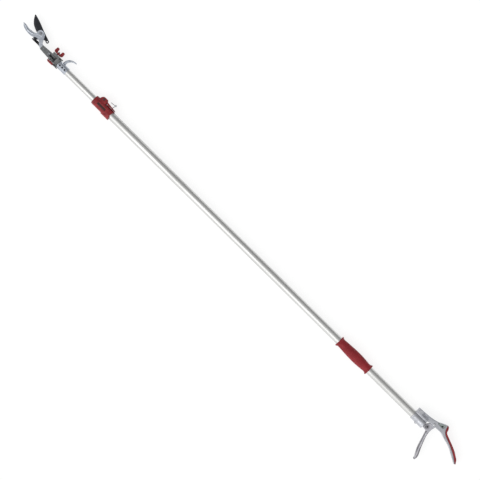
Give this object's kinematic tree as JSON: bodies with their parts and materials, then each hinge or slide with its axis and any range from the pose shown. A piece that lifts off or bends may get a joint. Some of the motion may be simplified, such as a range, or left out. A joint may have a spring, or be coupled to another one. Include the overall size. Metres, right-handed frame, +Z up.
{
  "type": "telescoping pole pruner",
  "caption": "Telescoping pole pruner: squeeze lever, pull rod inside a sliding tube pole with a cam clamp, and a tilting head with a bypass blade and hook.",
  "frame": {"origin": "middle of the footprint, on the surface the tool lies on", "axes": "+X along the pole towards the cutting head, +Y towards the squeeze lever side, +Z up"},
  "size_m": [1.8834, 0.1554, 0.035],
  "materials": {
    "tube_aluminium": "clear anodised tube with fine drawn lines",
    "cast_aluminium": "tumbled die casting",
    "head_grey": "grey enamel over a casting",
    "blade_black": "dark non-stick coating over hardened steel",
    "hook_steel": "nickel-plated forged steel",
    "bright_steel": "zinc-plated",
    "black_steel": "black oxide",
    "red_plastic": "moulded nylon, satin",
    "red_grip": "moulded grip, fine texture",
    "grey_plastic": "moulded, fine texture",
    "white_plastic": "natural nylon"
  },
  "bodies": {
    "lower_section": {"lower_tube": "tube_aluminium", "grip_sleeve": "red_grip", "rod_guide": "white_plastic", "return_spring": "bright_steel", "handle_frame": "cast_aluminium", "handle_insert": "red_plastic", "socket_bolt": "bright_steel", "socket_nut": "bright_steel", "lever_pivot_bolt": "bright_steel", "lever_pivot_nut": "bright_steel", "horn_panel_screw": "black_steel", "socket_set_screw": "black_steel", "horn_panel": "grey_plastic", "clamp_body": "red_plastic", "clamp_cam_pin": "bright_steel", "clamp_set_screw": "black_steel", "end_wiper": "white_plastic"},
    "squeeze_lever": {"squeeze_lever": "cast_aluminium"},
    "lower_rod": {"lower_pull_rod": "tube_aluminium", "rod_end_eye": "black_steel", "rod_end_pin": "bright_steel", "spring_seat": "black_steel", "rod_clutch": "black_steel"},
    "brake_shoe": {"brake_shoe": "black_steel"},
    "clamp_lever": {"clamp_lever": "red_plastic", "catch_pin": "bright_steel"},
    "lever_catch": {"lever_catch": "bright_steel"},
    "upper_section": {"upper_tube": "tube_aluminium", "upper_tube_glide": "white_plastic", "branch_hook": "hook_steel", "hook_screw_1": "black_steel", "hook_screw_2": "black_steel", "hook_screw_3": "black_steel", "tilt_yoke": "head_grey", "yoke_clamp_cap": "head_grey", "yoke_screw_1": "black_steel", "yoke_screw_2": "black_steel", "tilt_cap": "red_plastic", "tilt_bolt": "bright_steel"},
    "upper_rod": {"upper_pull_rod": "tube_aluminium", "rod_ferrule": "black_steel", "pull_cable": "bright_steel"},
    "head": {"head_arm": "head_grey", "arm_rivet_1": "bright_steel", "arm_rivet_2": "bright_steel", "counter_blade": "hook_steel", "blade_pivot_washer": "hook_steel", "blade_pivot_bolt": "bright_steel", "blade_pivot_nut": "bright_steel", "wing_stud": "black_steel"},
    "wing_knob": {"wing_knob": "red_plastic", "knob_washer": "bright_steel"},
    "drive_tongue": {"drive_tongue": "black_steel", "drive_pin": "bright_steel"},
    "blade": {"blade": "blade_black"}
  },
  "joints": [
    {"name": "squeeze", "type": "hinge", "parent": "lower_section", "child": "squeeze_lever", "pos_m": [-0.8111, -0.04135, 0.0175], "axis": [0, 0, 1], "range_deg": [0, 45], "stiffness_Nm_per_rad": 0.8, "springref_deg": -28.65},
    {"name": "lower_rod_pull", "type": "slide", "parent": "lower_section", "child": "lower_rod", "axis": [-1, 0, 0], "range_m": [0, 0.0184], "deforming": ["return_spring"]},
    {"name": "clamp_open", "type": "hinge", "parent": "lower_section", "child": "clamp_lever", "pos_m": [0.6003, -0.04025, 0.0175], "axis": [0, 0, 1], "range_deg": [0, 105]},
    {"name": "shoe_release", "type": "slide", "parent": "lower_section", "child": "brake_shoe", "axis": [0, -1, 0], "range_m": [0, 0.0007]},
    {"name": "catch_flip", "type": "hinge", "parent": "clamp_lever", "child": "lever_catch", "pos_m": [0.5653, -0.03735, 0.0175], "axis": [0, 0, 1], "range_deg": [-30, 0], "stiffness_Nm_per_rad": 0.001, "springref_deg": 28.65},
    {"name": "pole_extension", "type": "slide", "parent": "lower_section", "child": "upper_section", "axis": [1, 0, 0], "range_m": [0, 1.15]},
    {"name": "upper_rod_pull", "type": "slide", "parent": "upper_section", "child": "upper_rod", "axis": [-1, 0, 0], "range_m": [0, 0.0184], "deforming": ["pull_cable"]},
    {"name": "head_tilt", "type": "hinge", "parent": "upper_section", "child": "head", "pos_m": [0.7988, -0.01965, 0.0175], "axis": [0, -1, 0], "range_deg": [0, 75], "deforming": ["pull_cable"]},
    {"name": "knob_turn", "type": "hinge", "parent": "head", "child": "wing_knob", "pos_m": [0.7988, -0.01965, 0.0175], "axis": [0, -1, 0], "continuous": true},
    {"name": "tongue_pull", "type": "slide", "parent": "head", "child": "drive_tongue", "axis": [-1, 0, 0], "range_m": [0, 0.0184], "deforming": ["pull_cable"]},
    {"name": "blade_close", "type": "hinge", "parent": "head", "child": "blade", "pos_m": [0.8803, -0.04665, 0.0175], "axis": [0, 0, 1], "range_deg": [0, 37.7]}
  ],
  "couplings": [
    {"joint": "lower_rod_pull", "follows": "squeeze", "m_per_rad": 0.02333},
    {"joint": "upper_rod_pull", "follows": "squeeze", "m_per_rad": 0.02333},
    {"joint": "tongue_pull", "follows": "squeeze", "m_per_rad": 0.02333},
    {"joint": "blade_close", "follows": "squeeze", "ratio": 0.8353},
    {"joint": "shoe_release", "follows": "clamp_open", "m_per_rad": 0.00038}
  ]
}
